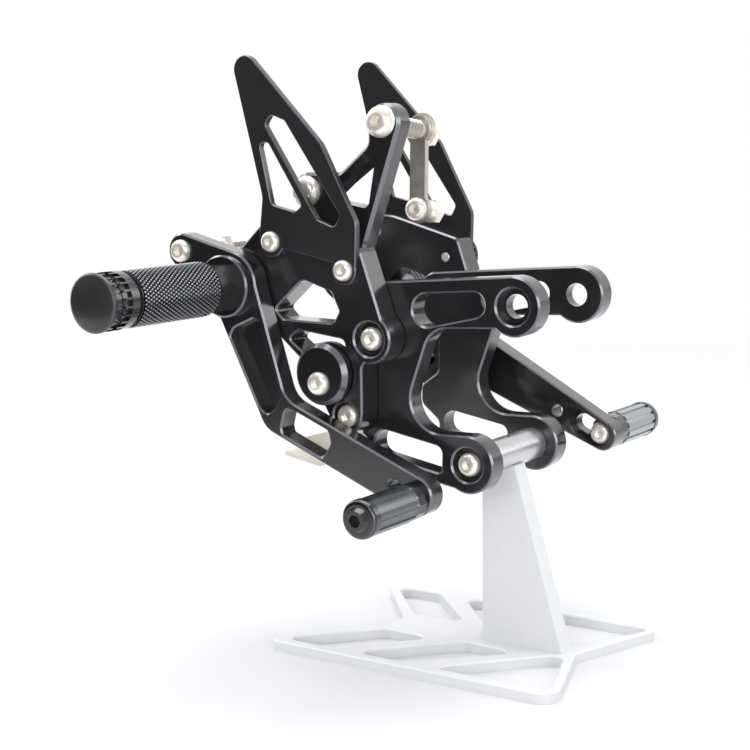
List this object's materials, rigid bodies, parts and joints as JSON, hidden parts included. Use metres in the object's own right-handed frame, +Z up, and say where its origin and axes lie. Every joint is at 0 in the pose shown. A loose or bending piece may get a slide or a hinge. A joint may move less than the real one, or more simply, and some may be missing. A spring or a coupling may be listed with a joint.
{
  "type": "motorbike rear sets",
  "caption": "Black machined motorbike rear sets with knurled footpegs, heel guards, brake lever and shift lever, bolted to a silver display stand.",
  "frame": {"origin": "on the stand's underside, on the middle plane, straight below the cross bar's axis", "axes": "+X towards the front of the bike, +Y to the shift side, +Z up"},
  "size_m": [0.1984, 0.2976, 0.2731],
  "materials": {
    "bar_silver": "turned bright aluminium",
    "bolt_steel": "nickel plated screw steel",
    "bracket_black": "satin black anodise",
    "cap_black": "smooth black anodise",
    "guard_black": "satin black anodise",
    "lever_black": "satin black anodise with bright milled edges",
    "link_steel": "bead blasted stainless",
    "pale_sheet": "pale zinc plated sheet",
    "peg_black": "black anodise, knurled grip",
    "plate_black": "satin black anodise with bright milled edges",
    "sleeve_steel": "turned stainless",
    "stand_silver": "fine satin silver anodise",
    "toe_grey": "titanium grey anodise, fluted",
    "trim_black": "glossy black anodise"
  },
  "bodies": {
    "sets": {"cylinder_bracket": "bracket_black", "cylinder_bracket_screw_1": "bolt_steel", "cylinder_bracket_screw_2": "bolt_steel", "cylinder_lower_bolt": "bolt_steel", "left_bar_bolt": "bolt_steel", "left_footpeg": "peg_black", "left_footpeg_cap": "cap_black", "left_footpeg_nut": "bolt_steel", "left_frame_plate": "plate_black", "left_guard_bolt_front": "bolt_steel", "left_guard_bolt_rear": "bolt_steel", "left_heel_guard": "guard_black", "left_peg_plate": "plate_black", "left_pivot_sleeve": "sleeve_steel", "left_plate_bolt_high": "bolt_steel", "left_plate_bolt_low": "bolt_steel", "lever_stop": "trim_black", "lever_stop_bolt": "bolt_steel", "link_bolt": "bolt_steel", "link_lower_bolt": "bolt_steel", "link_lower_nut": "bolt_steel", "link_nut": "bolt_steel", "link_spacer": "bolt_steel", "reservoir_link": "link_steel", "right_bar_bolt": "bolt_steel", "right_footpeg": "peg_black", "right_footpeg_cap": "cap_black", "right_footpeg_nut": "bolt_steel", "right_frame_plate": "plate_black", "right_guard_bolt_front": "bolt_steel", "right_guard_bolt_rear": "bolt_steel", "right_heel_guard": "guard_black", "right_peg_plate": "plate_black", "right_pivot_sleeve": "sleeve_steel", "right_plate_bolt_high": "bolt_steel", "right_plate_bolt_low": "bolt_steel", "right_plate_bolt_nut": "bolt_steel", "stand_bar": "bar_silver", "stand_bar_screw": "bolt_steel", "stand_base": "stand_silver", "stand_base_screws": "bolt_steel", "stand_upright": "stand_silver", "switch_bracket": "pale_sheet"},
    "brake_pedal": {"brake_lever": "lever_black", "brake_toe_peg": "trim_black", "brake_toe_sleeve": "toe_grey", "brake_toe_cap": "trim_black", "rod_bolt": "bolt_steel", "rod_collar": "bolt_steel", "rod_nut": "bolt_steel"},
    "shift_pedal": {"shift_lever": "lever_black", "shift_toe_peg": "trim_black", "shift_toe_bolt": "bolt_steel", "shift_toe_sleeve": "toe_grey", "shift_toe_cap": "trim_black"}
  },
  "joints": [
    {"name": "brake_pivot", "type": "hinge", "parent": "sets", "child": "brake_pedal", "pos_m": [-0.112, -0.054, 0.1703], "axis": [0, 1, 0], "range_deg": [-3, 12]},
    {"name": "shift_pivot", "type": "hinge", "parent": "sets", "child": "shift_pedal", "pos_m": [-0.112, 0.054, 0.1703], "axis": [0, 1, 0], "range_deg": [-8, 8]}
  ]
}
